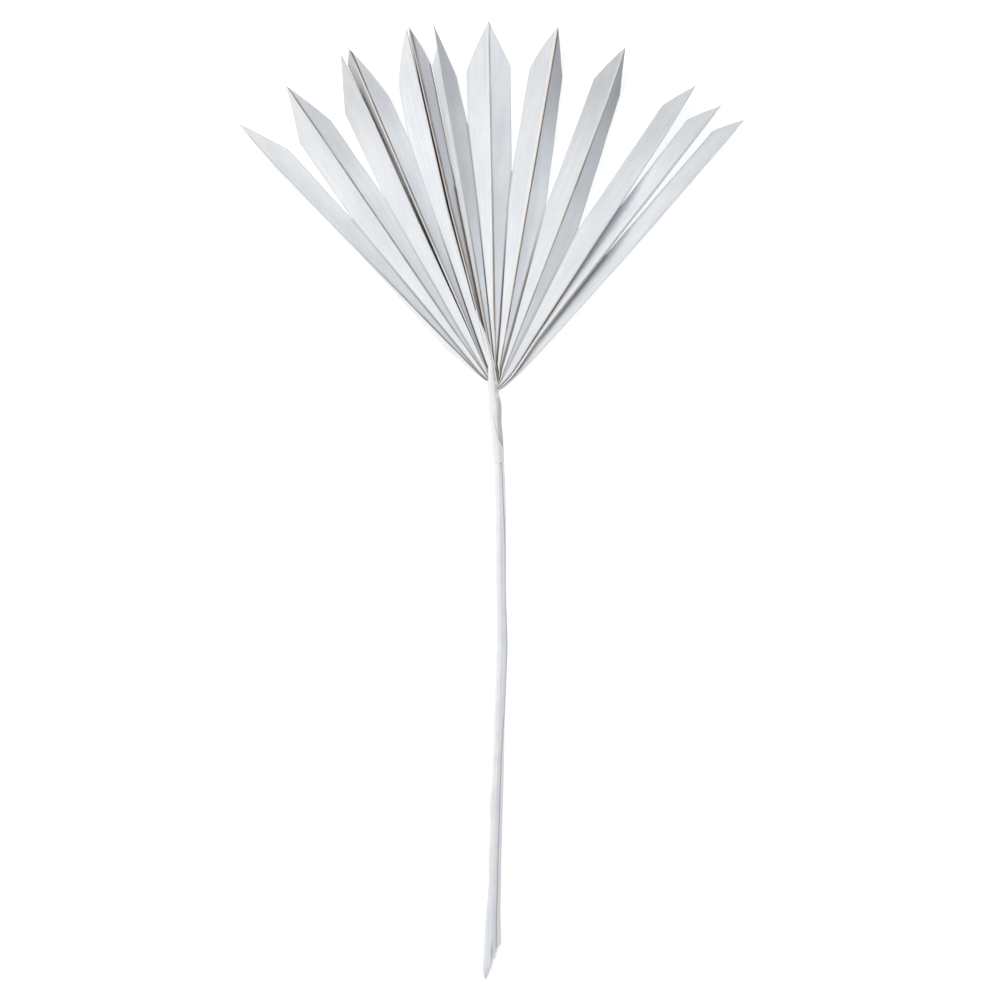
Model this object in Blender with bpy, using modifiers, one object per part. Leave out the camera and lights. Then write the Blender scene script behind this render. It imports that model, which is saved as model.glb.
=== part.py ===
"""A dried and whitened fan palm leaf, trimmed to a sunburst, lying on its back with a paper wrap on its stalk.

The ribs look up, the blade points to +Y and the stalk to -Y. It lies on three low places: the flat underside of
the stalk's foot and the tucked-under margins of the two outer segments.
Lengths are in millimetres and azimuths in degrees from +Y, positive towards +X, both about the hub, where the
folds meet. A point becomes metres when it is made.
"""

import math
from collections import namedtuple

import bmesh
import bpy
from mathutils import Vector

MM = 0.001

# Blade: 13 segments, each a strap folded along its rib, joined to its neighbours by valleys as far as the splits.
BLADE_THICKNESS = 0.6
WEDGE_DEG = 7.2
STRAP_HALF_WIDTH = 14.4
STRAP_BLEND = 6
ROOT_RADIUS = 4.0
ROOT_AZIMUTHS = (-80.0, 130.0)
COLLAR_RADIUS = 10.0
COLLAR_AZIMUTHS = (-62.0, 84.0)
NEAR_RADIUS = 34.5
MID_RADIUS = 103.5
FAR_RADIUS = 172.5
STRAP_START = 161.0
SETTLE_LENGTH = 30.0

# Height of the ribs over the surface: they rise from the hub, and the middle of the fan is domed. At its edge the
# ribs are as high as the tucked-under panels are wide, so that those just reach the surface.
HUB_HEIGHT = 7.5
EDGE_HEIGHT = 14.05
RISE_RADIUS = 115.0
DOME_HEIGHT = 2.5
DOME_AZIMUTH = 47.0
TIP_RADIUS = 207.0

# Valleys have a narrow floor, at most this share of the way from rib to rib. The steep sides of a closed pair stand
# this far from its ribs. Folds are flat at the hub, and no steeper than leaves room for the sheet in their floor.
FLOOR_WIDTH = 0.7
FLOOR_SHARE = 0.35
FLOOR_TO_SIDE = 1.3
CLOSED_SIDE = 0.225
LEAST_DEPTH_SHARE = 0.15
FLAT_RADIUS = 5.0
FOLDED_RADIUS = 34.0
FOLD_ROOM = 1.7
UPRIGHT_DEG = 89.0

# rib: its azimuths at the near, mid and far radius. tip: its radius and azimuth. left, right: the shoulders, where
# the slanting cuts start, as radius, azimuth and how far the cut bulges outwards. lift: how far the tip is raised.
Segment = namedtuple("Segment", "rib tip left right lift")
SEGMENTS = (
    Segment((-49.5, -45.9, -45.1), (209.0, -44.6), (177.1, -45.4, 0.0), (179.4, -41.4, 0.4), 0.0),
    Segment((-38.5, -35.5, -35.05), (207.7, -35.0), (177.1, -39.0, 0.0), (178.3, -31.9, 0.5), 1.0),
    Segment((-26.1, -25.2, -24.75), (208.1, -25.0), (177.1, -28.9, 0.0), (177.1, -24.43, 0.0), 0.4),
    Segment((-24.6, -24.0, -23.67), (208.8, -23.5), (177.1, -23.98, 0.0), (175.4, -20.2, 1.2), 0.9),
    Segment((-14.5, -15.0, -14.08), (209.1, -13.9), (172.5, -17.7, 2.4), (177.1, -14.0, 0.0), 0.2),
    Segment((-13.0, -14.03, -13.6), (209.3, -13.45), (177.1, -13.68, 0.0), (186.9, -11.3, 0.6), 0.8),
    Segment((-8.2, -9.2, -9.58), (207.6, -9.57), (186.9, -10.95, 0.0), (178.3, -7.0, 0.3), -0.2),
    Segment((0.1, -0.53, -0.8), (206.4, -0.8), (179.4, -5.08, 0.0), (182.3, 2.9, 0.0), 0.9),
    Segment((12.4, 10.6, 10.3), (206.2, 10.12), (182.3, 6.5, 0.0), (181.7, 12.5, 0.0), 0.1),
    Segment((25.7, 22.75, 21.9), (205.6, 21.33), (184.6, 18.25, 0.0), (181.1, 23.5, 0.0), 1.1),
    Segment((41.4, 35.5, 34.5), (205.1, 33.91), (186.9, 31.25, 0.0), (184.0, 34.6, 0.0), 0.3),
    Segment((44.8, 40.25, 39.4), (205.1, 39.31), (187.5, 36.3, 0.0), (184.0, 39.65, 0.0), 0.8),
    Segment((54.3, 46.2, 44.0), (207.0, 43.54), (191.5, 41.0, 0.0), (184.0, 44.2, 0.0), 0.0),
)

# near, mid: azimuths of the fold between two segments. split: radius and azimuth where the slit starts.
# closed: its two sides stand nearly upright, close to each other.
Valley = namedtuple("Valley", "near mid split closed")
VALLEYS = (
    Valley(-43.5, -41.0, (125.0, -40.8), False),
    Valley(-32.5, -30.65, (125.0, -30.55), False),
    Valley(-25.35, -24.6, (125.0, -24.45), True),
    Valley(-20.25, -19.4, (150.0, -19.3), False),
    Valley(-13.75, -14.5, (150.0, -14.07), True),
    Valley(-10.0, -10.95, (115.0, -11.0), False),
    Valley(-3.75, -5.25, (150.0, -5.83), False),
    Valley(6.5, 4.5, (122.0, 4.85), False),
    Valley(19.7, 16.45, (106.0, 16.4), False),
    Valley(32.7, None, (101.0, 28.7), False),
    Valley(42.3, 36.0, (126.0, 35.5), False),
    Valley(45.7, None, (98.0, 41.0), False),
)

# The free outer margins of the first and the last segment, at the near and the mid radius.
OUTER_MARGINS = ((-54.3, -46.2), (55.5, 46.5))

# Distances from the hub of the rows of points across the blade, and shares of the way from shoulder to tip.
STATIONS = (4, 7, 10, 14, 19, 26, 34.5, 44, 54, 65, 76, 87, 98, 101, 106, 115, 122, 125, 126, 138, 150, STRAP_START)
CUT_STATIONS = (0.4, 0.75)

# Stalk, from the slanted foot to the taper that runs up over the roots of the folds: distance along Y, sideways
# place, height of the middle, half width and half height.
STALK = (
    (-350.0, -1.5, 3.1, 5.6, 3.1),
    (-337.0, -1.2, 3.1, 5.3, 3.1),
    (-321.5, -0.8, 3.1, 4.9, 3.1),
    (-305.0, -0.4, 3.0, 4.2, 3.0),
    (-289.0, 0.4, 3.0, 3.6, 3.0),
    (-273.0, 0.6, 3.1, 3.7, 2.95),
    (-257.0, 1.2, 3.2, 3.5, 2.9),
    (-241.0, 1.4, 3.3, 3.7, 2.9),
    (-225.0, 2.2, 3.45, 3.3, 2.85),
    (-209.0, 2.7, 3.6, 3.15, 2.8),
    (-192.5, 3.2, 3.75, 3.1, 2.75),
    (-168.5, 4.1, 4.0, 3.15, 2.75),
    (-152.5, 4.6, 4.2, 3.2, 2.75),
    (-136.0, 4.4, 4.4, 2.95, 2.7),
    (-120.0, 4.1, 4.6, 2.8, 2.65),
    (-96.0, 4.0, 4.9, 2.85, 2.65),
    (-72.0, 3.8, 5.2, 3.0, 2.65),
    (-56.0, 3.4, 5.4, 2.9, 2.65),
    (-48.0, 3.0, 5.5, 2.85, 2.6),
    (-44.0, 2.7, 5.6, 2.5, 2.35),
    (-28.0, 1.5, 5.9, 2.6, 2.4),
    (-19.0, 0.8, 6.1, 3.1, 2.6),
    (-11.5, 0.6, 6.3, 3.05, 2.6),
    (-5.0, 0.1, 6.5, 3.0, 2.6),
    (0.0, -0.5, 6.8, 3.1, 2.6),
    (5.7, -1.2, 7.5, 2.5, 2.2),
    (12.5, -1.9, 8.5, 1.9, 1.7),
    (27.0, -5.5, 9.8, 1.2, 1.0),
    (42.0, -10.3, 11.1, 0.4, 0.4),
)

# The stalk's section, as shares of its half width and half height: flat below, with a groove near its right side.
GROOVE = (0.56, 0.5)
STALK_SECTION = (
    (-0.45, -1.0),
    (0.45, -1.0),
    (0.85, -0.62),
    (1.0, -0.1),
    (0.88, 0.38),
    (0.66, 0.56),
    GROOVE,
    (0.44, 0.78),
    (0.1, 1.0),
    (-0.3, 0.98),
    (-0.68, 0.76),
    (-0.94, 0.28),
    (-1.0, -0.2),
    (-0.82, -0.66),
)

# The slanted cut of the foot: a point on it and the direction it faces.
FOOT_CUT_POINT = (4.0, -323.0, 3.0)
FOOT_CUT_FACING = (0.87, -0.4, 0.28)

# Paper wrap: its two ends, the gap to the stalk, the tape's thickness and the second layer's, which ends at an edge
# that winds down round the stalk from the left, over the front, to the right.
WRAP_TOP = -3.5
WRAP_FOOT = -46.0
WRAP_STATIONS = 20
WRAP_GAP = 0.3
WRAP_THICKNESS = 0.5
WRAP_OVERLAP = 0.35
WRAP_EDGE_LEFT = -19.5
WRAP_EDGE_PITCH = 27.0
WRAP_EDGE_WIDTH = 2.0
WRAP_SECTION = tuple(corner for corner in STALK_SECTION if corner != GROOVE)

LEAF_COLOUR = (0.86, 0.87, 0.89, 1.0)
WRAP_COLOUR = (0.88, 0.88, 0.88, 1.0)
SHARP_ANGLE = 35.0


def arc(degrees, radius):
    """Length of this angle at this radius."""
    return math.radians(degrees) * radius


def smooth(share):
    share = min(1.0, max(0.0, share))
    return share * share * (3 - 2 * share)


def on_line(points, radius):
    """Azimuth at this radius along (radius, azimuth) points that are joined by lines straight in plan."""
    for (r0, a0), (r1, a1) in zip(points, points[1:]):
        if radius <= r1:
            break
    return a0 + (a1 - a0) * (1 / r0 - 1 / radius) / (1 / r0 - 1 / r1)


def fold_azimuths_near():
    """Azimuths of all folds and the outer margins at the near radius, from left to right."""
    found = [OUTER_MARGINS[0][0]]
    for segment, valley in zip(SEGMENTS, VALLEYS):
        found += [segment.rib[0], valley.near]
    return found + [SEGMENTS[-1].rib[0], OUTER_MARGINS[1][0]]


def root_points(fold):
    """Where a fold passes the root and the collar: the folds share the space there ever more evenly."""
    near = fold_azimuths_near()
    even = fold / (len(near) - 1)
    seen = (near[fold] - near[0]) / (near[-1] - near[0])
    root = ROOT_AZIMUTHS[0] + even * (ROOT_AZIMUTHS[1] - ROOT_AZIMUTHS[0])
    collar = COLLAR_AZIMUTHS[0] + (even + seen) / 2 * (COLLAR_AZIMUTHS[1] - COLLAR_AZIMUTHS[0])
    return [(ROOT_RADIUS, root), (COLLAR_RADIUS, collar)]


def rib_azimuth(index, radius):
    segment = SEGMENTS[index]
    points = root_points(2 * index + 1)
    points += zip((NEAR_RADIUS, MID_RADIUS, FAR_RADIUS), segment.rib)
    return on_line(points + [segment.tip], radius)


def valley_azimuth(index, radius):
    valley = VALLEYS[index]
    points = root_points(2 * index + 2) + [(NEAR_RADIUS, valley.near)]
    if valley.mid is not None:
        points.append((MID_RADIUS, valley.mid))
    if valley.split[0] > points[-1][0]:
        points.append(valley.split)
    return on_line(points, radius)


def half_width(radius):
    """True width of a half segment: a wedge where the segments are joined, then a strap."""
    wedge = radius * math.tan(math.radians(WEDGE_DEG))
    return (wedge**-STRAP_BLEND + STRAP_HALF_WIDTH**-STRAP_BLEND) ** (-1 / STRAP_BLEND)


def drop(radius, across):
    """How far a margin hangs below its rib when it stands this far to the side of it in plan."""
    return math.sqrt(max(half_width(radius) ** 2 - across**2, (LEAST_DEPTH_SHARE * across) ** 2))


def rib_height(index, radius):
    azimuth = max(-DOME_AZIMUTH, min(DOME_AZIMUTH, rib_azimuth(index, radius)))
    rise = math.sin(math.pi / 2 * min(1.0, radius / RISE_RADIUS))
    dome = DOME_HEIGHT * (1 - (azimuth / DOME_AZIMUTH) ** 2) * radius / TIP_RADIUS
    lift = SEGMENTS[index].lift * (radius / TIP_RADIUS) ** 2
    return HUB_HEIGHT + (EDGE_HEIGHT - HUB_HEIGHT) * rise + dome + lift


def joined_valley(index, radius):
    """The floor of a valley: the azimuths of its two edges and its height."""
    middle = valley_azimuth(index, radius)
    left = arc(middle - rib_azimuth(index, radius), radius)
    right = arc(rib_azimuth(index + 1, radius) - middle, radius)
    if VALLEYS[index].closed:
        floor = max(FLOOR_SHARE * (left + right), left + right - 2 * CLOSED_SIDE)
    else:
        floor = min(FLOOR_WIDTH, FLOOR_SHARE * (left + right), FLOOR_TO_SIDE * min(left, right))
    depth = (drop(radius, left) + drop(radius, right)) / 2
    depth *= smooth((radius - FLAT_RADIUS) / (FOLDED_RADIUS - FLAT_RADIUS))
    steepest = 2 * math.atan(floor / (FOLD_ROOM * BLADE_THICKNESS))
    if steepest < math.radians(UPRIGHT_DEG):
        depth = min(depth, (min(left, right) - floor / 2) * math.tan(steepest))
    height = (rib_height(index, radius) + rib_height(index + 1, radius)) / 2 - depth
    half = math.degrees(floor / 2 / radius)
    return middle - half, middle + half, height


def free_margin(index, side, radius):
    """Azimuth and height of a segment's margin past the split, or all along where it has no neighbour."""
    segment = SEGMENTS[index]
    shoulder = segment.left if side < 0 else segment.right
    beside = index - 1 if side < 0 else index
    if 0 <= beside < len(VALLEYS):
        split = VALLEYS[beside].split[0]
        edges = joined_valley(beside, split)
        points = [(split, edges[1] if side < 0 else edges[0])]
        settled = smooth((radius - split) / SETTLE_LENGTH)
        shared = edges[2] - rib_height(index, split)
    else:
        near, mid = OUTER_MARGINS[0 if side < 0 else 1]
        fold = 0 if side < 0 else 2 * len(SEGMENTS)
        points = root_points(fold) + [(NEAR_RADIUS, near), (MID_RADIUS, mid)]
        settled = 1.0
        shared = 0.0
    azimuth = on_line(points + [shoulder[:2]], radius)
    across = arc(abs(azimuth - rib_azimuth(index, radius)), radius)
    own = -drop(radius, across)
    return azimuth, rib_height(index, radius) + shared + (own - shared) * settled


def point(azimuth, radius, height):
    angle = math.radians(azimuth)
    return Vector((radius * math.sin(angle), radius * math.cos(angle), height))


def rib_point(index, radius):
    return point(rib_azimuth(index, radius), radius, rib_height(index, radius))


def margin_point(index, side, radius):
    """A point of a segment's left (side -1) or right (side 1) edge: valley, slit margin or slanting cut."""
    segment = SEGMENTS[index]
    shoulder_radius, _, bulge = segment.left if side < 0 else segment.right
    beside = index - 1 if side < 0 else index
    if 0 <= beside < len(VALLEYS) and radius <= VALLEYS[beside].split[0]:
        left, right, height = joined_valley(beside, radius)
        return point(right if side < 0 else left, radius, height)
    if radius <= shoulder_radius:
        azimuth, height = free_margin(index, side, radius)
        return point(azimuth, radius, height)
    azimuth, height = free_margin(index, side, shoulder_radius)
    shoulder = point(azimuth, shoulder_radius, height)
    tip = rib_point(index, segment.tip[0])
    share = (radius - shoulder_radius) / (segment.tip[0] - shoulder_radius)
    outwards = (shoulder - rib_point(index, shoulder_radius)).normalized()
    return shoulder.lerp(tip, share) + outwards * (4 * bulge * share * (1 - share))


def segment_row(index, radius):
    """Three points across a segment: its left edge, its rib and its right edge."""
    return [margin_point(index, -1, radius), rib_point(index, radius), margin_point(index, 1, radius)]


def segment_radii(segment):
    """Stations along a segment: those it shares with its neighbours, its shoulders and some along its cuts."""
    shoulders = sorted({segment.left[0], segment.right[0]})
    cuts = [shoulders[-1] + share * (segment.tip[0] - shoulders[-1]) for share in CUT_STATIONS]
    return list(STATIONS) + shoulders + cuts


def add_quad(bm, a, b, c, d):
    """A quad as two triangles, so that both faces of the thickened sheet are split alike."""
    bm.faces.new((a, b, c))
    bm.faces.new((a, c, d))


def blade_sheet():
    """The pleated middle surface of the blade."""
    bm = bmesh.new()
    grid = []
    for index, segment in enumerate(SEGMENTS):
        rows = []
        for radius in segment_radii(segment):
            rows.append([bm.verts.new(place * MM) for place in segment_row(index, radius)])
        for low, high in zip(rows, rows[1:]):
            for column in range(len(low) - 1):
                add_quad(bm, low[column], low[column + 1], high[column + 1], high[column])
        tip = bm.verts.new(rib_point(index, segment.tip[0]) * MM)
        for a, b in zip(rows[-1], rows[-1][1:]):
            bm.faces.new((a, b, tip))
        grid.append(rows)
    for index, valley in enumerate(VALLEYS):
        joined = [n for n, radius in enumerate(STATIONS) if radius <= valley.split[0]]
        left = [grid[index][n][-1] for n in joined]
        right = [grid[index + 1][n][0] for n in joined]
        for a, b, c, d in zip(left, right, right[1:], left[1:]):
            add_quad(bm, a, b, c, d)
    bmesh.ops.recalc_face_normals(bm, faces=bm.faces)
    return mesh_from(bm, "leaf")


def mesh_from(bm, name):
    mesh = bpy.data.meshes.new(name)
    bm.to_mesh(mesh)
    bm.free()
    return mesh


def ring(bm, section, middle, half_width, half_height):
    """One section of a loft, across Y."""
    x, y, z = middle
    return [bm.verts.new(Vector((x + u * half_width, y, z + v * half_height)) * MM) for u, v in section]


def join_rings(bm, low, high):
    for n in range(len(low)):
        after = (n + 1) % len(low)
        bm.faces.new((low[n], low[after], high[after], high[n]))


def stalk_solid():
    """The stalk, lofted from its foot to its tapered end in the blade, with the slanted cut at the foot."""
    bm = bmesh.new()
    rings = [ring(bm, STALK_SECTION, (x, y, z), width, height) for y, x, z, width, height in STALK]
    for low, high in zip(rings, rings[1:]):
        join_rings(bm, low, high)
    bm.faces.new(rings[0])
    bm.faces.new(rings[-1])
    cut = bmesh.ops.bisect_plane(
        bm,
        geom=bm.verts[:] + bm.edges[:] + bm.faces[:],
        plane_co=Vector(FOOT_CUT_POINT) * MM,
        plane_no=Vector(FOOT_CUT_FACING).normalized(),
        clear_outer=True,
    )
    edges = [item for item in cut["geom_cut"] if isinstance(item, bmesh.types.BMEdge)]
    bmesh.ops.contextual_create(bm, geom=edges)
    bmesh.ops.recalc_face_normals(bm, faces=bm.faces)
    return mesh_from(bm, "stalk")


def stalk_at(y):
    """Sideways place, height, half width and half height of the stalk at this place along Y."""
    for low, high in zip(STALK, STALK[1:]):
        if y <= high[0]:
            break
    share = (y - low[0]) / (high[0] - low[0])
    return [a + (b - a) * share for a, b in zip(low[1:], high[1:])]


def wrap_thickness(y, u, v):
    """Thickness of the wrap at a place along Y, on the side of the stalk that u and v point to."""
    turned = math.atan2(v, -u) / (2 * math.pi) % 1.0
    edge = WRAP_EDGE_LEFT - turned * WRAP_EDGE_PITCH
    return WRAP_THICKNESS + WRAP_OVERLAP * smooth((y - edge) / WRAP_EDGE_WIDTH)


def wrap_solid():
    """A sleeve of paper tape, wound round the stalk."""
    bm = bmesh.new()
    inner = []
    outer = []
    for n in range(WRAP_STATIONS):
        y = WRAP_FOOT + (WRAP_TOP - WRAP_FOOT) * n / (WRAP_STATIONS - 1)
        x, z, width, height = stalk_at(y)
        inner.append(ring(bm, WRAP_SECTION, (x, y, z), width + WRAP_GAP, height + WRAP_GAP))
        outside = []
        for u, v in WRAP_SECTION:
            proud = WRAP_GAP + wrap_thickness(y, u, v)
            outside.append(bm.verts.new(Vector((x + u * (width + proud), y, z + v * (height + proud))) * MM))
        outer.append(outside)
    for rings in (inner, outer):
        for low, high in zip(rings, rings[1:]):
            join_rings(bm, low, high)
    join_rings(bm, inner[0], outer[0])
    join_rings(bm, inner[-1], outer[-1])
    bmesh.ops.recalc_face_normals(bm, faces=bm.faces)
    return mesh_from(bm, "stem_wrap")


def material(name, colour, roughness):
    made = bpy.data.materials.new(name)
    made.use_nodes = True
    shader = made.node_tree.nodes["Principled BSDF"]
    shader.inputs["Base Color"].default_value = colour
    shader.inputs["Roughness"].default_value = roughness
    shader.inputs["Metallic"].default_value = 0.0
    return made


def add_object(mesh, collection, surface):
    made = bpy.data.objects.new(mesh.name, mesh)
    collection.objects.link(made)
    mesh.shade_smooth()
    mesh.set_sharp_from_angle(angle=math.radians(SHARP_ANGLE))
    mesh.materials.append(surface)
    return made


def thicken_and_join(leaf, forms):
    """Gives the blade its thickness, joins the stalk to it as one body and removes the stalk's own object."""
    thickness = leaf.modifiers.new("thickness", "SOLIDIFY")
    thickness.thickness = BLADE_THICKNESS * MM
    thickness.offset = 0.0
    thickness.use_even_offset = True
    thickness.use_quality_normals = True
    union = leaf.modifiers.new("stalk", "BOOLEAN")
    union.operation = "UNION"
    union.solver = "EXACT"
    union.operand_type = "COLLECTION"
    union.collection = forms
    graph = bpy.context.evaluated_depsgraph_get()
    joined = bpy.data.meshes.new_from_object(leaf.evaluated_get(graph))
    leaf.modifiers.clear()
    leaf.data = joined
    for obj in list(forms.objects):
        bpy.data.objects.remove(obj)
    bpy.data.collections.remove(forms)


def set_on_origin(objects, stand):
    """Moves the stand so that the whole leaf is centred on the origin and lies on its level."""
    bpy.context.view_layer.update()
    graph = bpy.context.evaluated_depsgraph_get()
    corners = []
    for obj in objects:
        seen = obj.evaluated_get(graph)
        corners += [seen.matrix_world @ Vector(corner) for corner in seen.bound_box]
    low = Vector([min(c[axis] for c in corners) for axis in range(3)])
    high = Vector([max(c[axis] for c in corners) for axis in range(3)])
    stand.location = (-(low.x + high.x) / 2, -(low.y + high.y) / 2, -low.z)


def main():
    for obj in list(bpy.data.objects):
        bpy.data.objects.remove(obj)
    scene = bpy.context.scene.collection
    parts = bpy.data.collections.new("fan_palm_leaf")
    forms = bpy.data.collections.new("forms")
    scene.children.link(parts)
    scene.children.link(forms)
    forms.hide_render = True

    leaf_surface = material("leaf", LEAF_COLOUR, 0.6)
    leaf = add_object(blade_sheet(), parts, leaf_surface)
    add_object(stalk_solid(), forms, leaf_surface)
    thicken_and_join(leaf, forms)
    wrap = add_object(wrap_solid(), parts, material("stem_wrap", WRAP_COLOUR, 0.75))

    stand = bpy.data.objects.new("stand", None)
    parts.objects.link(stand)
    for obj in (leaf, wrap):
        obj.parent = stand
    set_on_origin((leaf, wrap), stand)


main()
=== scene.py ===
"""A dried and whitened fan palm leaf, trimmed to a sunburst, lying on its back on a pale floor.

Lengths are in millimetres and azimuths in degrees from +Y, positive towards +X, both about the hub, where
the folds meet, unless a line says otherwise. A point becomes metres, in the part's frame, when it is made.
"""

import math
from collections import namedtuple

import bmesh
import bpy
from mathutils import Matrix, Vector, noise


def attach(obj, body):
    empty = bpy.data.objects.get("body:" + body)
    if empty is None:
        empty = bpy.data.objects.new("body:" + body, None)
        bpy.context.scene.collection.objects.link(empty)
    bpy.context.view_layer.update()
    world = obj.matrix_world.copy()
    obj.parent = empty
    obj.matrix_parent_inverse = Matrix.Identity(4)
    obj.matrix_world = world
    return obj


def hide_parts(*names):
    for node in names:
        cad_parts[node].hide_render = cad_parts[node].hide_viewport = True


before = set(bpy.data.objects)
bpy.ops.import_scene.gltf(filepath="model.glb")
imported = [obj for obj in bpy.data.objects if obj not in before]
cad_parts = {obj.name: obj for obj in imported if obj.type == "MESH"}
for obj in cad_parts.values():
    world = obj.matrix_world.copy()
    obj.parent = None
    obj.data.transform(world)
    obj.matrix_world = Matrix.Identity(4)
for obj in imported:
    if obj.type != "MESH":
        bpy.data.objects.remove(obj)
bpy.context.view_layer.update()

MM = 0.001
HUB = Vector((2.083, 70.421, 0.0))

# Blade: 13 segments, each a strap folded along its rib, joined by valleys up to the splits.
SHEET_THICKNESS = 0.4
WEDGE_DEG = 7.2
STRAP_HALF_WIDTH = 14.4
STRAP_BLEND = 6
CORE_RADIUS = 1.2
ROOT_RADIUS = 4.6
ROOT_AZIMUTHS = (-80.0, 141.0)
# The right-hand folds are gathered towards the wrap here.
GATHER_RADIUS = 13.0
GATHER_AZIMUTHS = (15.0, 165.0)
GATHER_SHIFT = (-2.0, -1.5, 0.0)
COLLAR_RADIUS = 10.0
# Azimuths of the folds at the collar, by their azimuths at the near radius.
COLLAR = (
    (-54.3, -63.0), (-49.2, -60.5), (-43.8, -55.0), (-38.1, -43.5), (-32.9, -37.5), (-25.4, -30.0),
    (-3.75, 2.0), (6.1, 9.0), (19.2, 27.5), (32.7, 47.0), (41.4, 65.0), (42.6, 68.0),
    (44.8, 74.0), (46.9, 78.0), (54.3, 81.5), (55.1, 84.0),
)
NEAR_RADIUS = 34.5
MID_RADIUS = 103.5
FAR_RADIUS = 172.5
STRAP_START = 161.0
SETTLE_LENGTH = 30.0

# Height of the ribs: they rise from the hub, and the middle of the fan is domed.
HUB_HEIGHT = 7.5
EDGE_HEIGHT = 14.05
RISE_RADIUS = 115.0
DOME_HEIGHT = 2.5
DOME_AZIMUTH = 47.0
TIP_RADIUS = 207.0

# Valleys have a narrow floor, at most this share of the way from rib to rib. The folds are flat at the
# first radius and reach their full depth at the second.
FLOOR_WIDTH = 0.45
FLOOR_SHARE = 0.28
LEAST_DEPTH_SHARE = 0.15
FLAT_RADIUS = 3.0
FOLDED_RADIUS = 14.0
# Valleys that are shallower than the folds beside them: share of the depth near the hub and further
# out, and the radii between which it changes. Then free margins past the splits, with one share each.
SHALLOW_VALLEYS = {2: (1.0, 0.4, 85.0, 122.0), 5: (0.6, 0.85, 60.0, 112.0), 10: (0.4, 0.8, 50.0, 120.0)}
SHALLOW_MARGINS = {(2, 1): 0.4, (3, -1): 0.4, (11, -1): 0.4, (12, -1): 0.35}

# rib: its azimuths at the near, mid and far radius. tip: its radius and azimuth. left, right: the
# shoulders, where the slanting cuts start, as radius, azimuth and how far the cut bulges outwards.
# lift: how far the tip is raised.
Segment = namedtuple("Segment", "rib tip left right lift")
SEGMENTS = (
    Segment((-49.2, -45.9, -45.1), (209.0, -44.6), (177.1, -45.4, 0.0), (179.4, -41.4, 0.4), 0.0),
    Segment((-38.1, -35.5, -35.05), (207.7, -35.0), (177.1, -39.0, 0.0), (178.3, -31.9, 0.5), 1.0),
    Segment((-26.1, -25.2, -24.75), (208.1, -25.0), (177.1, -28.9, 0.0), (177.1, -24.74, 0.0), 0.4),
    Segment((-24.35, -23.75, -23.55), (208.8, -23.48), (200.8, -24.72, 0.0), (175.4, -20.2, 1.2), 0.9),
    Segment((-14.5, -15.0, -14.08), (209.1, -13.9), (176.5, -17.95, 1.8), (177.1, -14.03, 0.0), 0.2),
    Segment((-13.0, -14.03, -13.6), (209.3, -13.45), (204.0, -13.86, 0.0), (186.9, -11.3, 1.6), 0.8),
    Segment((-8.5, -9.2, -9.58), (207.6, -9.57), (186.9, -10.95, 0.0), (178.3, -7.0, 0.3), -0.2),
    Segment((0.1, -0.53, -0.8), (207.3, -0.8), (179.4, -5.08, 0.7), (182.3, 2.9, 0.1), 0.9),
    Segment((12.4, 10.6, 10.3), (207.5, 10.2), (182.3, 6.5, 1.2), (181.7, 12.5, 0.0), 0.1),
    Segment((25.7, 22.75, 21.9), (206.5, 21.36), (184.6, 18.25, 0.5), (181.1, 23.5, 0.0), 1.1),
    Segment((41.4, 35.7, 34.75), (205.7, 34.16), (186.9, 31.25, 0.5), (184.0, 34.4, 0.0), 0.3),
    Segment((44.8, 40.25, 39.4), (205.1, 39.31), (187.5, 36.3, 0.4), (184.0, 39.5, 0.0), 0.8),
    Segment((54.3, 46.2, 44.0), (207.8, 43.54), (191.5, 41.0, 0.5), (184.0, 44.05, 0.0), 0.0),
)

# near, mid: azimuths of the fold between two segments. split: radius and azimuth where the slit starts.
# closed: its two sides stand nearly upright, close to each other, and are flat.
Valley = namedtuple("Valley", "near mid split closed")
VALLEYS = (
    Valley(-43.8, -41.0, (125.0, -40.8), False),
    Valley(-32.9, -30.65, (125.0, -30.55), False),
    Valley(-25.35, -24.6, (125.0, -24.45), True),
    Valley(-20.8, -19.4, (150.0, -19.3), False),
    Valley(-13.75, -14.5, (150.0, -14.07), True),
    Valley(-10.2, -11.15, (115.0, -11.05), False),
    Valley(-3.75, -5.25, (150.0, -5.83), False),
    Valley(6.1, 4.5, (122.0, 4.85), False),
    Valley(19.2, 16.45, (106.0, 16.4), False),
    Valley(32.7, None, (101.0, 28.7), False),
    Valley(42.6, 36.0, (126.0, 35.5), False),
    Valley(46.9, None, (98.0, 41.0), False),
)
# Outer margins of the first and the last segment, at the near and the mid radius.
OUTER_MARGINS = ((-54.3, -46.2), (55.1, 46.2))

# Where a slanting cut meets the rib below the tip: the segment, its side and the radius. The sliver
# left past there is this wide, as a share of its length.
CUT_ENDS = {(6, -1): 195.5}
SLIVER_SHARE = 0.05

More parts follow.
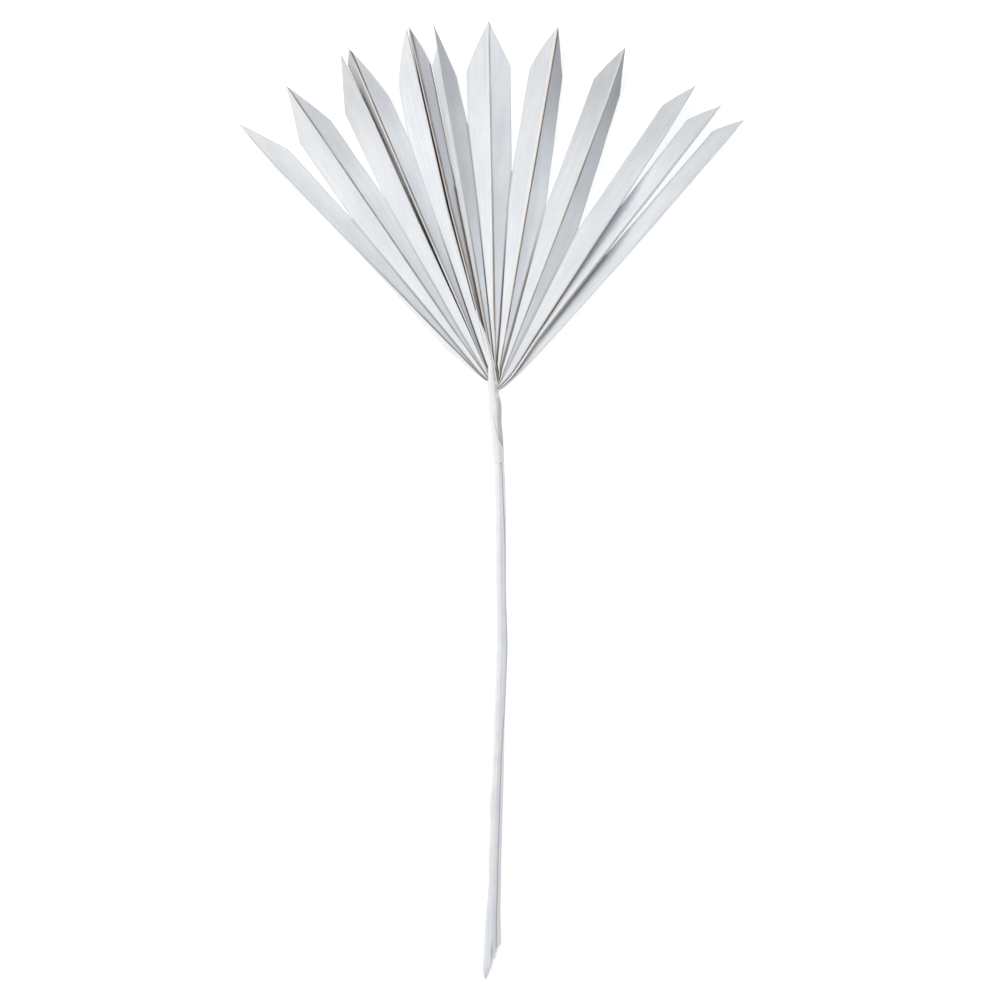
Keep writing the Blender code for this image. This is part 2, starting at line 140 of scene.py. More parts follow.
# What each segment looks like. line: strength of the brown line beside its rib, partly its own brown and
# partly painted shade on the rib's side away from the light. left, right: painted light and shade of its
# halves, how much lighter or darker each is painted for how the light falls on it. cream highlight:
# strength
# of the cream band left of its rib, a painted highlight on the rib's lit side in its cream colour. cord:
# radius of its midrib, then how pale it is. hollow: how much its halves are hollowed, as a share of their
# width. All but the last have a value near the hub and one further out, and some have a third at the tip.
Look = namedtuple("Look", "line left right cream cord hollow")
LOOKS = (
    Look((0.95, 0.0), (1.12, 1.05, 1.0), (0.91, 0.94, 0.94), (0.0, 0.0), (0.22, 0.3, 0.3), 0.05),
    Look((0.8, 0.95), (1.08, 0.94, 0.88), (0.95, 1.0, 0.82), (0.1, 0.0), (0.22, 0.1, 0.1), 0.05),
    Look((0.7, 0.6), (1.05, 0.96, 0.76), (0.9, 0.9, 0.8), (0.1, 0.0), (0.24, 0.5, 0.5), 0.03),
    Look((0.45, 1.0), (0.9, 0.64, 0.62), (0.86, 1.03, 0.86), (0.0, 0.0), (0.38, 1.0, 0.8), 0.05),
    Look((0.8, 0.8), (1.12, 1.0, 0.9), (0.9, 0.9, 0.9), (0.1, 0.0), (0.24, 0.3, 0.3), 0.03),
    Look((0.8, 0.9), (0.95, 0.95, 0.9), (0.8, 0.88, 0.8), (0.0, 0.0), (0.34, 0.9, 0.55), 0.03),
    Look((0.95, 0.1), (1.15, 1.17, 1.08), (1.1, 0.82, 0.68), (0.9, 0.1), (0.24, 0.6, 0.6), 0.04),
    Look((0.9, 0.45), (1.17, 1.02, 0.88), (1.14, 1.02, 1.13), (0.8, 0.25), (0.26, 0.0, 0.0), 0.012),
    Look((0.95, 1.0), (1.05, 0.93, 0.84), (1.03, 1.0, 0.6), (0.5, 0.5), (0.26, 0.5, 0.7), 0.05),
    Look((0.85, 1.0, 0.1), (0.98, 0.92, 0.7), (0.92, 0.9, 0.52), (0.3, 0.2), (0.24, 0.4, 0.4, 1.0), 0.03),
    Look((0.9, 0.1), (1.02, 0.96, 0.82), (0.9, 1.1, 1.1), (0.3, 0.1), (0.26, 0.6, 0.6), 0.03),
    Look((0.5, 0.1), (1.12, 1.1, 0.9), (0.9, 1.1, 1.1), (0.3, 0.1), (0.26, 0.7, 0.7), 0.03),
    Look((0.1, 0.1), (1.02, 1.06, 0.96), (1.17, 1.17, 1.15), (0.0, 0.0), (0.24, 0.9, 0.9), 0.03),
)
# How many times wider the brown line, partly painted shade, is than elsewhere.
WIDE_LINES = {3: 1.7, 5: 1.9, 7: 1.25, 8: 1.25}
GRADE_NEAR = 50.0
GRADE_FAR = 130.0
GRADE_TIP = 190.0

# How dark the bottom of each valley is painted near the hub and further out, and how wide the dark is on
# its left and its right: partly the valleys' own stain, partly painted shade and painted shadow from the
# ribs beside. Then free margins, with one width each: the segment, its side, and the three values.
STAINS_AND_SHADE = (
    (0.55, 0.25, 1.7, 0.6),
    (0.35, 0.15, 1.6, 0.5),
    (0.9, 0.3, 0.8, 0.8),
    (1.0, 0.15, 0.9, 0.7),
    (0.9, 0.9, 1.0, 1.0),
    (1.0, 0.9, 3.2, 0.6),
    (0.95, 0.45, 1.1, 0.8),
    (0.95, 0.35, 1.3, 0.6),
    (0.85, 0.15, 1.7, 0.5),
    (0.3, 0.1, 1.8, 0.5),
    (0.6, 0.3, 0.6, 0.4),
    (0.45, 0.3, 0.8, 4.0),
)
MARGIN_STAINS_AND_SHADE = {(5, 1): (0.9, 0.9, 2.2), (7, 1): (0.0, 0.15, 0.5), (12, -1): (0.5, 0.0, 2.8)}
STAIN_AND_SHADE_NEAR = 55.0
STAIN_AND_SHADE_FAR = 110.0

# Midribs: raised cords along the folds. They start thin, further out where a closed pair hides them,
# and taper to just past the tip.
CORD_START = 14.0
CORD_LATE_START = {2: 60.0, 4: 45.0}
CORD_FULL = 60.0
CORD_PALE = 28.0
CORD_TAPER = 14.0
CORD_PAST_TIP = 1.5
CORD_START_SHARE = 0.35
CORD_TIP_SHARE = 0.25
CORD_STEP = 2.5
CORD_SIDES = 8
CORD_SINK = 0.24
CORD_SHIFT = 0.1
# How uneven a midrib's thickness and its line are: how much, how fast along it, and the noise's seeds.
CORD_UNEVEN = (0.18, 0.12, 4.7, 1.5)
CORD_DRIFT = (0.05, 0.05, 2.9, 7.7)
CORD_LANE = 40.0

# The sheet's columns, as shares of a half segment from its rib to its margin, and the distance between
# rows.
SHARES = (0.0, 0.02, 0.045, 0.08, 0.13, 0.2, 0.3, 0.41, 0.52, 0.63, 0.74, 0.84, 0.91, 0.96, 1.0)
ROW_STEP = 2.0
LEAST_ROW_SHARE = 0.3
RIB_ROUNDING = 0.28
RIB_WIDTH = 0.45
RIB_FULL_WIDTH = 4.0
# Waves of the halves and of their free margins, and the roughness of the cuts: how high, how
# fast, and the noise's seeds, so that no two segments or sides are alike.
WAVE_HEIGHT = 0.35
WAVE_LENGTH = 26.0
WAVE_ACROSS = 1.3
WAVE_SEED = 5.7
MARGIN_WAVE = 0.45
MARGIN_WAVE_RATE = 1.6
MARGIN_WAVE_SEEDS = (3.3, 9.1)
CUT_ROUGHNESS = 0.22
CUT_ROUGH_RATE = 0.35
CUT_ROUGH_SEEDS = (7.3, 3.1)

# Stalk: distance along Y from the hub, sideways place, height of the middle, half width and half
# height.
STALK = (
    (-350.0, -1.5, 3.1, 5.6, 3.1),
    (-337.0, -1.2, 3.1, 5.3, 3.1),
    (-321.5, -0.8, 3.1, 4.9, 3.1),
    (-305.0, -0.4, 3.0, 4.2, 3.0),
    (-289.0, 0.4, 3.0, 3.6, 3.0),
    (-273.0, 0.6, 3.1, 3.7, 2.95),
    (-257.0, 1.2, 3.2, 3.5, 2.9),
    (-241.0, 1.4, 3.3, 3.7, 2.9),
    (-225.0, 2.2, 3.45, 3.3, 2.85),
    (-209.0, 2.7, 3.6, 3.15, 2.8),
    (-192.5, 3.2, 3.75, 3.1, 2.75),
    (-168.5, 4.1, 4.0, 3.15, 2.75),
    (-152.5, 4.6, 4.2, 3.2, 2.75),
    (-136.0, 4.4, 4.4, 2.95, 2.7),
    (-120.0, 4.1, 4.6, 2.8, 2.65),
    (-96.0, 4.0, 4.9, 2.85, 2.65),
    (-72.0, 3.8, 5.2, 3.0, 2.65),
    (-56.0, 3.4, 5.4, 2.9, 2.65),
    (-48.0, 3.0, 5.5, 2.85, 2.6),
    (-44.0, 2.7, 5.6, 2.5, 2.35),
    (-28.0, 1.5, 5.9, 2.6, 2.4),
    (-19.0, 0.8, 6.1, 3.1, 2.6),
    (-11.5, 0.6, 6.3, 3.05, 2.6),
    (-5.0, 0.1, 6.5, 3.0, 2.6),
    (0.0, -0.5, 6.8, 3.1, 2.6),
    (5.7, -1.2, 7.5, 2.5, 2.2),
    (12.5, -1.9, 8.5, 1.9, 1.7),
    (27.0, -5.5, 9.8, 1.2, 1.0),
    (42.0, -10.3, 11.1, 0.4, 0.4),
)
# The stalk draws in here, under the blade.
WAIST_AT = -4.8
WAIST_LENGTH = 5.0
WAIST_SHIFT = 0.5
WAIST_DEPTH = 0.15
GROOVE = (0.56, 0.66)
STALK_SECTION = (
    (-0.45, -1.0), (0.45, -1.0), (0.85, -0.62), (1.0, -0.1), (0.88, 0.38),
    (0.66, 0.56), GROOVE, (0.44, 0.78), (0.1, 1.0), (-0.3, 0.98),
    (-0.68, 0.76), (-0.94, 0.28), (-1.0, -0.2), (-0.82, -0.66),
)
SECTION_STEPS = 5
STALK_STEP = 1.5
# Lengthwise ridges: their height, and for each kind its strength, how fast it changes around and along
# the stalk, and its seed. There are none on the flat underside.
STALK_RIDGE = 0.04
RIDGES = ((1.0, 5.0, 0.012, 3.3), (0.6, 11.0, 0.02, 8.1))
UNDERSIDE = -0.95
# Lengthwise grooves in the stalk's upper face. The deep one wanders: distance along Y, then its place
# across, as a share of the half width. The shallow ones: place, width and depth, as shares.
DEEP_GROOVE = (
    (-350.0, 0.45), (-290.0, 0.48), (-215.0, 0.52), (-188.0, 0.86),
    (-98.0, 0.88), (-72.0, 0.6), (-40.0, 0.5), (50.0, 0.5),
)
DEEP_GROOVE_WIDTH = 0.13
GROOVES = ((0.1, 0.17, 0.55), (-0.42, 0.1, 0.2))
GROOVE_DEPTH = 0.26
# How the grooves vary: how much, how fast along the stalk, and the noise's seeds.
GROOVE_WANDER = (0.03, 0.03, 1.1, 2.2)
GROOVE_DRIFT = (0.1, 0.012, 5.1, 2.2)
GROOVE_FADE = (0.5, 0.02, 3.7, 9.4)
GROOVE_STRENGTH = 0.75
# The foot's ragged cut: distance along Y and how far to the right the stalk reaches there. Then its
# left.
FOOT_CUT = (
    (-343.5, -5.2), (-340.9, -4.2), (-335.9, -2.0), (-332.6, -1.3), (-331.7, -0.2), (-327.2, 1.1),
    (-325.0, 2.0), (-324.4, 2.9), (-323.6, 3.5), (-323.0, 4.1), (-321.0, 5.0),
)
FOOT_LEFT = ((-343.5, -5.3), (-341.6, -5.9), (-337.5, -6.6), (-335.0, -7.0))
# A split in the foot: its place across and width, as shares, and its middle and length along Y.
FOOT_SPLIT = (-0.08, 0.08, -328.0, 4.5)
FOOT_FINE = -310.0
FOOT_STEP = 0.45
FOOT_SLOPE = 0.3
FOOT_TIP_LENGTH = 8.0
FOOT_TIP_LOWERED = 0.55
FOOT_LEAST_WIDTH = 0.1
# How much of what reaches past the cut is left standing out of it, so that its points stay apart.
FOOT_PRESSED = 0.02

# Paper wrap. How far it stands out along Y; its upper turn, which lies over the rest; and its seam, as
# the place across, a share of the half width, and the distance along Y.
WRAP_TOP = 1.5
WRAP_FOOT = -46.0
WRAP_STEP = 0.22
WRAP_GAP = 0.06
WRAP_PROUD = (
    (-46.0, 0.55), (-42.5, 0.66), (-35.6, 0.78), (-28.7, 0.72), (-22.5, 0.38),
    (-19.0, 0.32), (-14.0, 0.34), (-9.0, 0.2), (-3.0, 0.2), (1.5, 0.08),
)
WRAP_TURN_END = -19.3
WRAP_TURN_PROUD = 0.17
WRAP_SEAM = (
    (-0.4, -12.0), (-0.27, -19.3), (-0.1, -26.5), (0.2, -31.0),
    (0.6, -34.3), (0.95, -37.5), (1.0, -38.5),
)
# The paper right of the seam lies deeper, up to the stalk's edge. The seam is only on the upper side.
WRAP_SEAM_LOWEST = -0.2
WRAP_RECESS = 0.4
WRAP_RECESS_EDGE = 0.75
# Painted shadow beside the seam, on the deeper paper: how far it spreads and how dark it is.
WRAP_SEAM_SHADE = 1.6
WRAP_SEAM_DARK = 0.45
WRAP_EDGE_WIDTH = 0.35
WRAP_LEAST = 0.05
# Torn margins of the wrap's foot and of its upper turn: how far, how fast around the stalk, and the
# seed.
WRAP_TEAR = (0.5, 2.1, 5.5)
WRAP_TURN_TEAR = (0.5, 1.7, 3.1)
WRAP_MARGIN_SHARE = 0.3
# Unevenness of the paper. Folds: how high, how fast around the stalk, how slanting and how fast along
# it. Strands and puckers: how high, and how fast across, along and in depth.
WRAP_FOLDS = (0.09, 2.6, 0.10, 0.05)
WRAP_STRANDS = (0.09, 7.0, 0.07, 5.0)
WRAP_PUCKERS = (0.04, 6.0, 0.55, 6.0)
# It is drawn tight at the top: how much, from where along Y and over what length.
WRAP_TIGHT = (0.8, -6.0, 7.0)
# Shaded paper: from where to where along Y and across, how softly, and how the strands break it up.
WRAP_SHADED = (-37.5, -7.0)
WRAP_SHADED_ACROSS = (0.1, 0.5)
WRAP_SHADED_SOFT = 3.0
WRAP_SHADE_STRANDS = (0.62, 0.5)
# Small slanting creases at the right of its top end.
WRAP_CREASES = (-6.2, -0.8)
WRAP_CREASES_ACROSS = (0.25, 0.2)
WRAP_CREASES_SOFT = 0.6
WRAP_CREASE_STEP = 1.35
WRAP_CREASE_WIDTH = 0.3
WRAP_CREASE_SLANT = 3.3
WRAP_CREASE_DEPTH = 0.16
# How dark the creases are painted: painted shade in them.
WRAP_CREASE_DARK = 1.2
WRAP_SECTION_STEPS = 8
WRAP_SECTION = tuple(corner for corner in STALK_SECTION if corner != GROOVE)

# Colours of the leaf.
LEAF_WHITE = (0.82, 0.835, 0.85, 1.0)
LEAF_COOL = (0.745, 0.775, 0.815, 1.0)
LEAF_MOTTLE = (0.62, 0.66, 0.73, 1.0)
LEAF_VEIN = (0.66, 0.68, 0.71, 1.0)
# Brown of the line beside the ribs: partly their own colour, partly painted shade.
BROWN_AND_SHADE = (0.20, 0.15, 0.12, 1.0)
# Dark of the valleys: painted shade and painted shadow, partly their own stain.
DARK = (0.10, 0.075, 0.055, 1.0)
TAN = (0.60, 0.50, 0.40, 1.0)
# Cream of the painted highlight on the ribs' lit side.
CREAM_AND_HIGHLIGHT = (0.90, 0.84, 0.77, 1.0)

# Streaks in the leaf: changes a millimetre across and along a segment, and detail. Each segment has a
# lane of its own.
STREAKS = {
    "broad veins": (0.6, 0.008, 2.0),
    "veins": (1.7, 0.018, 3.0),
    "fine veins": (4.5, 0.04, 2.0),
    "cloud": (0.14, 0.045, 3.0),
    "mottle": (0.5, 0.22, 4.0),
    "speck": (1.1, 0.35, 2.0),
}
STREAK_LANE = 31.7
LEAF_CLOUDS = (0.35, 0.7)
# What tints the leaf, in this order: which streaks, between which of their values, how strongly, its
# colour.
LEAF_TINTS = (
    ("mottle", 0.56, 0.72, 0.3, LEAF_MOTTLE),
    ("broad veins", 0.35, 0.65, 0.24, LEAF_VEIN),
    ("veins", 0.4, 0.65, 0.28, LEAF_VEIN),
    ("speck", 0.73, 0.79, 0.5, TAN),
)
# Bands beside the rib: from where to where, and how soft. The line is fainter in places along the rib.
# The cream band is a painted highlight on the rib's lit side; the line is partly painted shade on its other
# side.
CREAM_HIGHLIGHT_BAND = (-1.7, -0.1, 0.7)
LINE_BAND = (0.0, 0.58, 0.09)
LINE_BREAKS = 0.06
LINE_BREAKS_SEED = 4.2
# Steps: between which two values of what is read, and from what to what where it isn't 0 to 1.
LINE_FAINT = (0.3, 0.55, 0.6, 0.95)
# The next step: painted shade and stain of the valleys, fading away from their bottoms.
STAIN_AND_SHADE_STEP = (0.05, 1.0, 1.0, 0.0)
MARGIN_STEP = (0.1, 0.7, 0.25, 0.0)
LEAF_SHEEN = (0.3, 0.7, 0.5, 0.62)
# Bumps: strength, and depth in metres.
LEAF_BUMP = (0.5, 0.0004)
MIDRIB_BUMP = (0.4, 0.0003)
STALK_BUMP = (0.4, 0.0004)
WRAP_BUMP = (0.35, 0.0004)

# Colours of the midribs, the stalk, the wrap and the floor.
MIDRIB_WHITE = (0.88, 0.87, 0.85, 1.0)
MIDRIB_WARM = (0.84, 0.80, 0.75, 1.0)
MIDRIB_BROWN = (0.34, 0.29, 0.25, 1.0)
MIDRIB_TIP = (0.26, 0.24, 0.23, 1.0)
STALK_WHITE = (0.88, 0.885, 0.895, 1.0)
STALK_COOL = (0.81, 0.82, 0.84, 1.0)
STALK_FIBRE = (0.66, 0.65, 0.63, 1.0)
# Painted shade in the stalk's grooves.
STALK_GROOVE_SHADE = (0.42, 0.42, 0.43, 1.0)
WRAP_WHITE = (0.86, 0.86, 0.87, 1.0)
WRAP_GREY = (0.80, 0.80, 0.80, 1.0)
WRAP_SHADE = (0.46, 0.465, 0.50, 1.0)
FLOOR_PALE = (0.46, 0.46, 0.46, 1.0)
FLOOR_GREY = (0.45, 0.45, 0.45, 1.0)

# How fine the grain of each surface is, in changes a metre, and the midribs' patches in changes a
# millimetre.
MIDRIB_PATCHES = 0.05
MIDRIB_PATCHES_SEED = 1.3
MIDRIB_GRAIN = 1400.0
STALK_FIBRES = (900.0, 14.0, 900.0)
STALK_PATCHES = 90.0
WRAP_PULP = 900.0
WRAP_WRINKLES = 220.0
FLOOR_GRAIN = 40.0
# Steps, as above.
MIDRIB_WARMTH = (0.35, 0.65)
MIDRIB_SPECKS = (0.5, 0.75, 0.0, 0.35)
MIDRIB_SHEEN = (0.3, 0.7, 0.45, 0.6)
STALK_COOLNESS = (0.35, 0.7)
STALK_STREAKS = (0.45, 0.75, 0.0, 0.3)
# How the painted shade in the grooves grows with their depth.
STALK_GROOVE_SHADING = (0.2, 1.0, 0.0, 0.6)
STALK_SHEEN = (0.3, 0.7, 0.5, 0.65)
WRAP_GREYNESS = (0.3, 0.7)
WRAP_SHEEN = (0.3, 0.7, 0.7, 0.85)
FLOOR_SHEEN = (0.3, 0.7, 0.85, 0.9)
SHARP_DEG = 60.0

# Floor, light and camera, in metres. The camera looks straight down.
FLOOR_SIZE = 6.0
AMBIENT = 0.6
AMBIENT_COLOUR = (0.955, 1.0, 1.05)
KEY_COLOUR = (1.05, 1.0, 0.935)
# The floor also glows: painted light that keeps it evenly white and fades the shadows on it; it lights the
# leaf from below too.
FLOOR_GLOW = 0.7
# Softboxes: place, what they look at, width and length, power.
SOFTBOXES = (
    ((-0.19, 0.30, 0.345), (0.0, 0.19, 0.0), (0.16, 0.30), 0.75),
    ((-0.28, -0.15, 0.38), (0.0, -0.12, 0.0), (0.16, 0.30), 0.5),
)
VIEW_MIDDLE = (0.00553, 0.0031)
VIEW_WIDTH = 0.575
VIEW_HEIGHT = 0.011
CAMERA_DISTANCE = 2.9
CAMERA_CLIP = (0.1, 20.0)
SENSOR_WIDTH = 36.0


def arc(degrees, radius):
    return math.radians(degrees) * radius


def smooth(share):
    share = min(1.0, max(0.0, share))
    return share * share * (3 - 2 * share)


def on_line(points, radius):
    """Azimuth at this radius along (radius, azimuth) points joined by lines straight in plan."""
    for (r0, a0), (r1, a1) in zip(points, points[1:]):
        if radius <= r1:
            break
    return a0 + (a1 - a0) * (1 / r0 - 1 / radius) / (1 / r0 - 1 / r1)


def on_steps(points, place):
    """The value at this place along (place, value) points joined by straight lines."""
    if place <= points[0][0]:
        return points[0][1]
    for (p0, v0), (p1, v1) in zip(points, points[1:]):
        if place <= p1:
            return v0 + (v1 - v0) * (place - p0) / (p1 - p0)
    return points[-1][1]


def arch(share):
    """0 at both ends and 1 in the middle."""
    return 4 * share * (1 - share)


def uneven(*place):
    """Smooth noise at this place, about -1 to 1, the same in each run."""
    return noise.noise(Vector(place))


def fold_azimuths_near():
    found = [OUTER_MARGINS[0][0]]
    for segment, valley in zip(SEGMENTS, VALLEYS):
        found += [segment.rib[0], valley.near]
    return found + [SEGMENTS[-1].rib[0], OUTER_MARGINS[1][0]]


def root_points(fold):
    near = fold_azimuths_near()
    even = fold / (len(near) - 1)
    root = ROOT_AZIMUTHS[0] + even * (ROOT_AZIMUTHS[1] - ROOT_AZIMUTHS[0])
    return [(CORE_RADIUS, root), (ROOT_RADIUS, root), (COLLAR_RADIUS, on_steps(COLLAR, near[fold]))]


def rib_azimuth(index, radius):
    segment = SEGMENTS[index]
    points = root_points(2 * index + 1)
    points += zip((NEAR_RADIUS, MID_RADIUS, FAR_RADIUS), segment.rib)
    return on_line(points + [segment.tip], radius)


def valley_azimuth(index, radius):
    valley = VALLEYS[index]
    points = root_points(2 * index + 2) + [(NEAR_RADIUS, valley.near)]
    if valley.mid is not None:
        points.append((MID_RADIUS, valley.mid))
    if valley.split[0] > points[-1][0]:
        points.append(valley.split)
    return on_line(points, radius)


def half_width(radius):
    wedge = radius * math.tan(math.radians(WEDGE_DEG))
    return (wedge**-STRAP_BLEND + STRAP_HALF_WIDTH**-STRAP_BLEND) ** (-1 / STRAP_BLEND)


def drop(radius, across):
    return math.sqrt(max(half_width(radius) ** 2 - across**2, (LEAST_DEPTH_SHARE * across) ** 2))


def rib_height(index, radius):
    azimuth = max(-DOME_AZIMUTH, min(DOME_AZIMUTH, rib_azimuth(index, radius)))
    rise = math.sin(math.pi / 2 * min(1.0, radius / RISE_RADIUS))
    dome = DOME_HEIGHT * (1 - (azimuth / DOME_AZIMUTH) ** 2) * radius / TIP_RADIUS
    lift = SEGMENTS[index].lift * (radius / TIP_RADIUS) ** 2
    return HUB_HEIGHT + (EDGE_HEIGHT - HUB_HEIGHT) * rise + dome + lift


def joined_valley(index, radius):
    """The floor of a valley: the azimuths of its two edges and its height."""
    middle = valley_azimuth(index, radius)
    left = arc(middle - rib_azimuth(index, radius), radius)
    right = arc(rib_azimuth(index + 1, radius) - middle, radius)
    floor = min(FLOOR_WIDTH, FLOOR_SHARE * (left + right))
    depth = (drop(radius, left) + drop(radius, right)) / 2
    depth *= smooth((radius - FLAT_RADIUS) / (FOLDED_RADIUS - FLAT_RADIUS))
    if index in SHALLOW_VALLEYS:
        near, far, start, end = SHALLOW_VALLEYS[index]
        depth *= near + (far - near) * smooth((radius - start) / (end - start))
    height = (rib_height(index, radius) + rib_height(index + 1, radius)) / 2 - depth
    half = math.degrees(floor / 2 / radius)
    return middle - half, middle + half, height


def free_margin(index, side, radius):
    segment = SEGMENTS[index]
    shoulder = segment.left if side < 0 else segment.right
    beside = index - 1 if side < 0 else index
    if 0 <= beside < len(VALLEYS):
        split = VALLEYS[beside].split[0]
        edges = joined_valley(beside, split)
        points = [(split, edges[1] if side < 0 else edges[0])]
        settled = smooth((radius - split) / SETTLE_LENGTH)
        shared = edges[2] - rib_height(index, split)
    else:
        near, mid = OUTER_MARGINS[0 if side < 0 else 1]
        fold = 0 if side < 0 else 2 * len(SEGMENTS)
        points = root_points(fold) + [(NEAR_RADIUS, near), (MID_RADIUS, mid)]
        settled = 1.0
        shared = 0.0
    azimuth = on_line(points + [shoulder[:2]], radius)
    across = arc(abs(azimuth - rib_azimuth(index, radius)), radius)
    own = -drop(radius, across) * SHALLOW_MARGINS.get((index, side), 1.0)
    return azimuth, rib_height(index, radius) + shared + (own - shared) * settled


def point(azimuth, radius, height):
    angle = math.radians(azimuth)
    place = Vector((radius * math.sin(angle), radius * math.cos(angle), height))
    start, end = GATHER_AZIMUTHS
    if radius < GATHER_RADIUS and start < azimuth < end:
        share = smooth((GATHER_RADIUS - radius) / (GATHER_RADIUS - ROOT_RADIUS))
        place += Vector(GATHER_SHIFT) * share * math.sin(math.pi * (azimuth - start) / (end - start))
    return place


def rib_point(index, radius):
    return point(rib_azimuth(index, radius), radius, rib_height(index, radius))


def is_joined(index, side, radius):
    beside = index - 1 if side < 0 else index
    return 0 <= beside < len(VALLEYS) and radius <= VALLEYS[beside].split[0]


def margin_point(index, side, radius):
    """A point of a segment's left (-1) or right (1) edge: valley, slit margin or slanting cut."""
    segment = SEGMENTS[index]
    shoulder_radius, _, bulge = segment.left if side < 0 else segment.right
    beside = index - 1 if side < 0 else index
    if is_joined(index, side, radius):
        left, right, height = joined_valley(beside, radius)
        return point(right if side < 0 else left, radius, height)
    if radius <= shoulder_radius:
        azimuth, height = free_margin(index, side, radius)
        return point(azimuth, radius, height)
    azimuth, height = free_margin(index, side, shoulder_radius)
    shoulder = point(azimuth, shoulder_radius, height)
    tip = rib_point(index, segment.tip[0])
    end = CUT_ENDS.get((index, side), segment.tip[0])
    outwards = (shoulder - rib_point(index, shoulder_radius)).normalized()
    if radius >= end:
        rib = rib_point(index, radius)
        return rib + outwards * SLIVER_SHARE * (tip - rib).length
    tip = rib_point(index, end)
    share = (radius - shoulder_radius) / (end - shoulder_radius)
    segment_seed, side_seed = CUT_ROUGH_SEEDS
    rough = CUT_ROUGHNESS * uneven(radius * CUT_ROUGH_RATE, index * segment_seed, side * side_seed)
    return shoulder.lerp(tip, share) + outwards * (bulge * arch(share) + rough * math.sin(math.pi * share))


def common_radii():
    """Rows that all segments share: even steps, and every split."""
    splits = sorted({valley.split[0] for valley in VALLEYS})
    count = round((STRAP_START - CORE_RADIUS) / ROW_STEP)
    found = [CORE_RADIUS + (STRAP_START - CORE_RADIUS) * n / count for n in range(count + 1)]
    least = LEAST_ROW_SHARE * ROW_STEP
    found = [radius for radius in found if all(abs(radius - split) > least for split in splits)]
    return sorted(found + splits)


def own_radii(segment):
    """Rows past the common ones: even steps to the shoulders and up to just under the tip."""
    marks = [STRAP_START] + sorted({segment.left[0], segment.right[0]}) + [segment.tip[0]]
    found = []
    for low, high in zip(marks, marks[1:]):
        count = max(1, round((high - low) / ROW_STEP))
        found += [low + (high - low) * (n + 1) / count for n in range(count)]
    return found[:-1]


def graded(values, radius):
    """The value at this radius, from those near the hub, further out and perhaps at the tip."""
    out = smooth((radius - GRADE_NEAR) / (GRADE_FAR - GRADE_NEAR))
    found = values[0] + (values[1] - values[0]) * out
    if len(values) == 3:
        found += (values[2] - values[1]) * smooth((radius - GRADE_FAR) / (GRADE_TIP - GRADE_FAR))
    return found


def sheet_row(index, radius):
    """Points across a segment, from its left to its right edge, and what its material reads."""
    rib = rib_point(index, radius)
    along = point(rib_azimuth(index, radius), 1.0, 0.0)
    look = LOOKS[index]
    segment_seed, side_seed = MARGIN_WAVE_SEEDS
    row = []
    for side in (-1, 1):
        margin = margin_point(index, side, radius)
        panel = margin - rib
        width = panel.length
        joined = is_joined(index, side, radius)
        outwards = along.cross(panel) if side < 0 else panel.cross(along)
        outwards.normalize()
        beside = index - 1 if side < 0 else index
        closed = 0 <= beside < len(VALLEYS) and VALLEYS[beside].closed
        shoulder = SEGMENTS[index].left if side < 0 else SEGMENTS[index].right
        # Dark painted in and beside the valleys and along some margins: partly their own stain, partly
        # painted shade and painted shadow.
        near, far, wide = MARGIN_STAINS_AND_SHADE.get((index, side), (0.0, 0.0, 1.0))
        if joined:
            near, far, *widths = STAINS_AND_SHADE[beside]
            wide = widths[1] if side < 0 else widths[0]
        elif radius > shoulder[0]:
            near, far = 0.0, 0.0
        stain_and_shade = near + (far - near) * smooth((radius - STAIN_AND_SHADE_NEAR) / (STAIN_AND_SHADE_FAR - STAIN_AND_SHADE_NEAR))
        # Painted light and shade: how much lighter or darker this half is painted for how the light falls
        # on it.
        painted_shading = graded(look.left if side < 0 else look.right, radius)
        fullness = width / STRAP_HALF_WIDTH
        half = []
        for share in SHARES:
            distance = share * width
            place = rib + panel * share
            wave = uneven(radius / WAVE_LENGTH, share * WAVE_ACROSS * side, index * WAVE_SEED)
            bulge = (WAVE_HEIGHT * wave * fullness - look.hollow * width) * arch(share)
            if not joined:
                rate = MARGIN_WAVE_RATE / WAVE_LENGTH
                edge_wave = uneven(radius * rate, index * segment_seed, side * side_seed)
                bulge += MARGIN_WAVE * edge_wave * share * share * fullness
            if closed:
                bulge = 0.0
            place += outwards * bulge
            rounding = RIB_ROUNDING * math.exp(-((distance / RIB_WIDTH) ** 2))
            place.z -= rounding * min(1.0, width / RIB_FULL_WIDTH)
            painted_shading_here = 1.0 if share == 0 else painted_shading
            seen = (place - rib).to_2d().length
            edge = (width - distance) / wide
            half.append((place, side * distance, side * seen, edge, stain_and_shade, float(joined), painted_shading_here))
        row += half[::-1] if side < 0 else half[1:]
    return row


